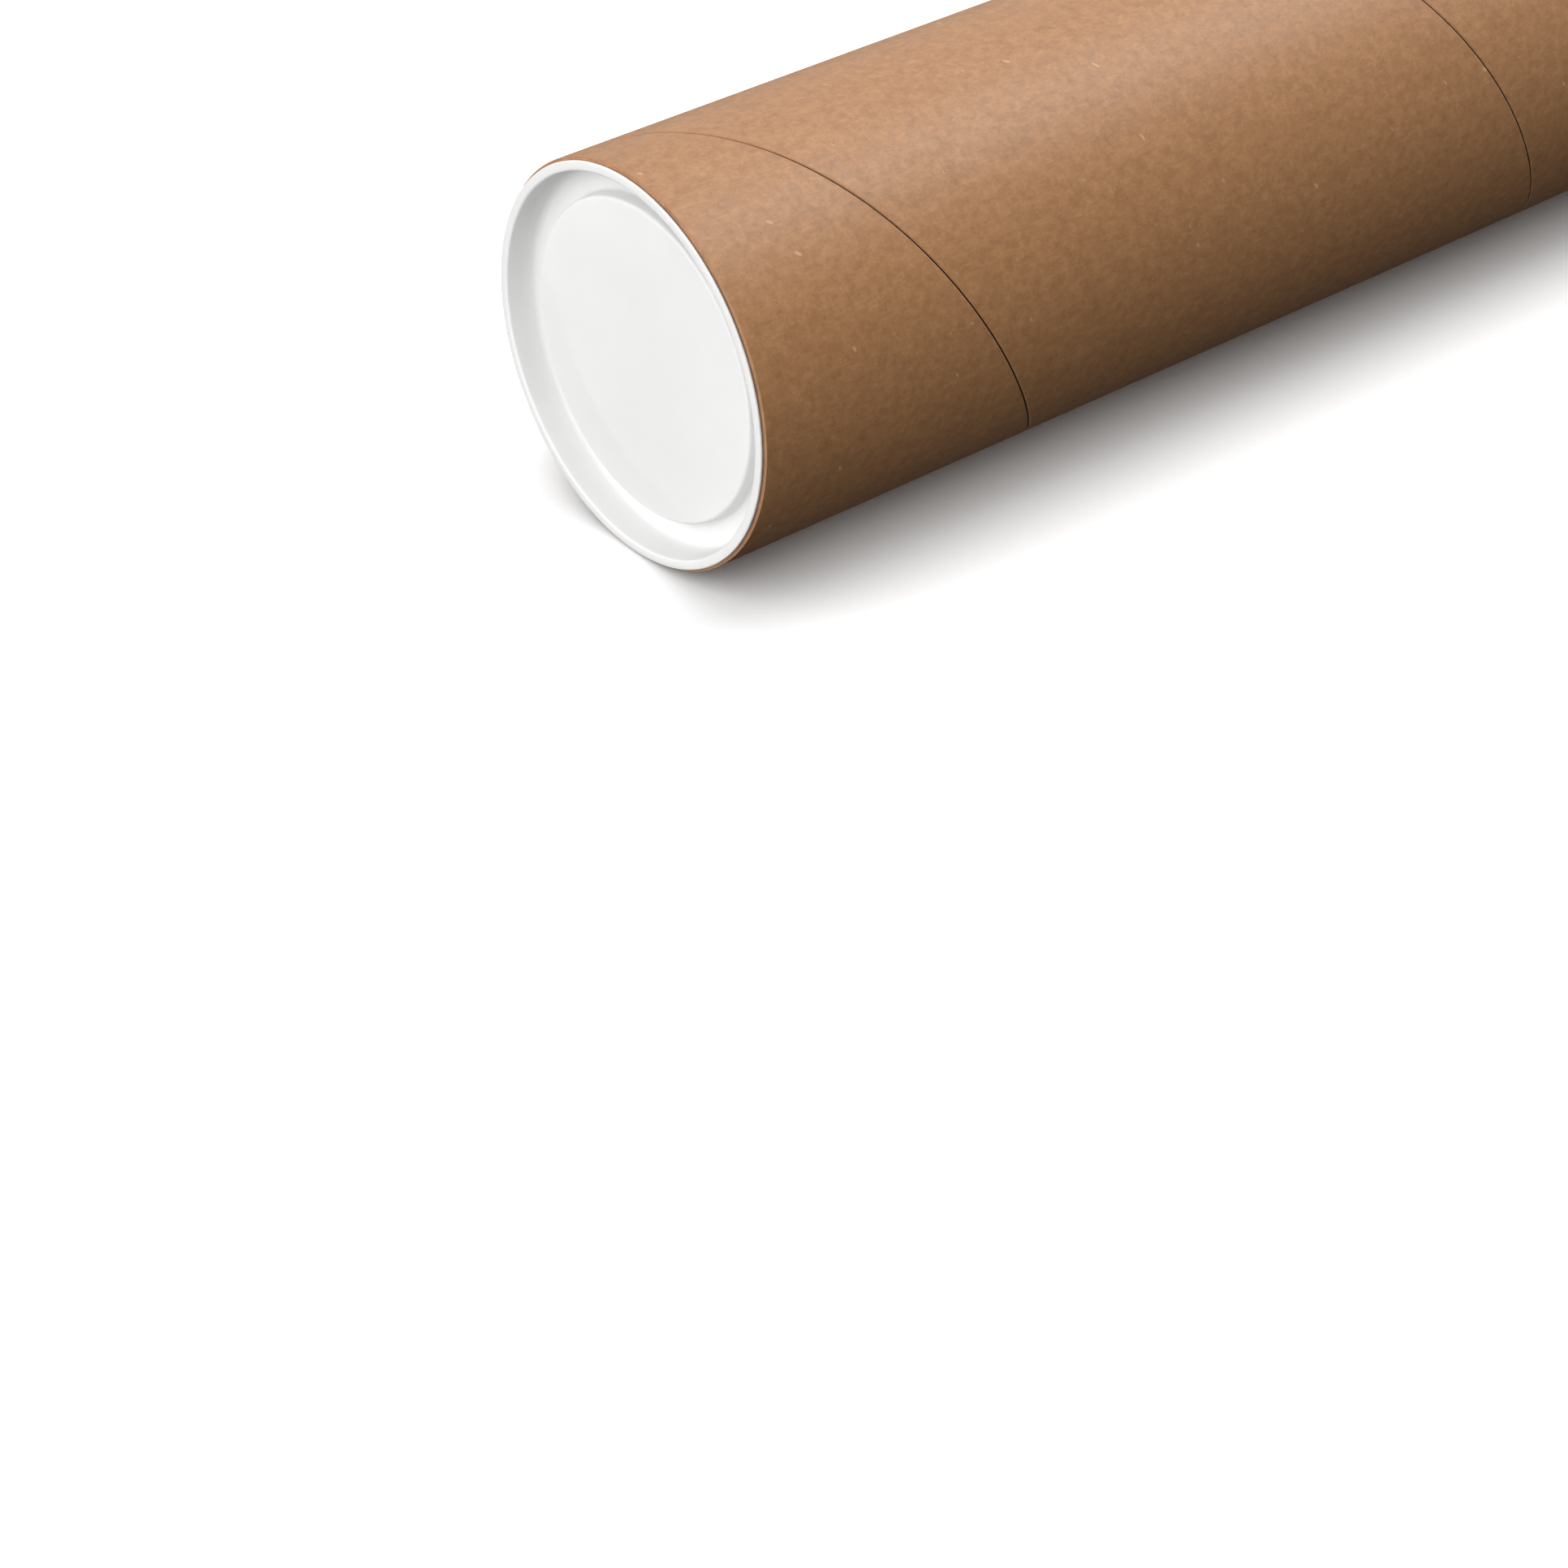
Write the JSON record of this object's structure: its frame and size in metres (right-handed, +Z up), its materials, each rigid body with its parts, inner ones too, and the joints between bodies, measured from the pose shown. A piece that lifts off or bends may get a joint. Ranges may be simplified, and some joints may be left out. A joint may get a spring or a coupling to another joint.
{
  "type": "drawing tube",
  "caption": "Spiral-wound kraft cardboard tube with push-in plastic end plugs, holding one rolled print.",
  "frame": {"origin": "on the surface the tube lies on, under the middle of its length", "axes": "+X along the tube towards its far end, +Y across, +Z up"},
  "size_m": [0.4518, 0.0792, 0.079],
  "materials": {
    "kraft_wrap": "calendered kraft, faint satin",
    "core_board": "grey-brown recycled board, matt",
    "kraft_liner": "uncoated kraft, matt",
    "plug_plastic": "moulded, fine matt",
    "print_paper": "coated heavy paper, satin, printed one side"
  },
  "bodies": {
    "tube": {"outer_wrap": "kraft_wrap", "wall_ply_outer": "core_board", "wall_ply_middle": "core_board", "wall_ply_inner": "core_board", "inner_liner": "kraft_liner"},
    "sheet": {"rolled_sheet": "print_paper"},
    "near_plug": {"near_plug": "plug_plastic"},
    "far_plug": {"far_plug": "plug_plastic"}
  },
  "joints": [
    {"name": "sheet_slide", "type": "slide", "parent": "tube", "child": "sheet", "axis": [-1, 0, 0], "range_m": [0, 0.45]},
    {"name": "near_plug_pull", "type": "slide", "parent": "sheet", "child": "near_plug", "axis": [-1, 0, 0], "range_m": [0, 0.06]},
    {"name": "far_plug_pull", "type": "slide", "parent": "tube", "child": "far_plug", "axis": [1, 0, 0], "range_m": [0, 0.06]}
  ]
}
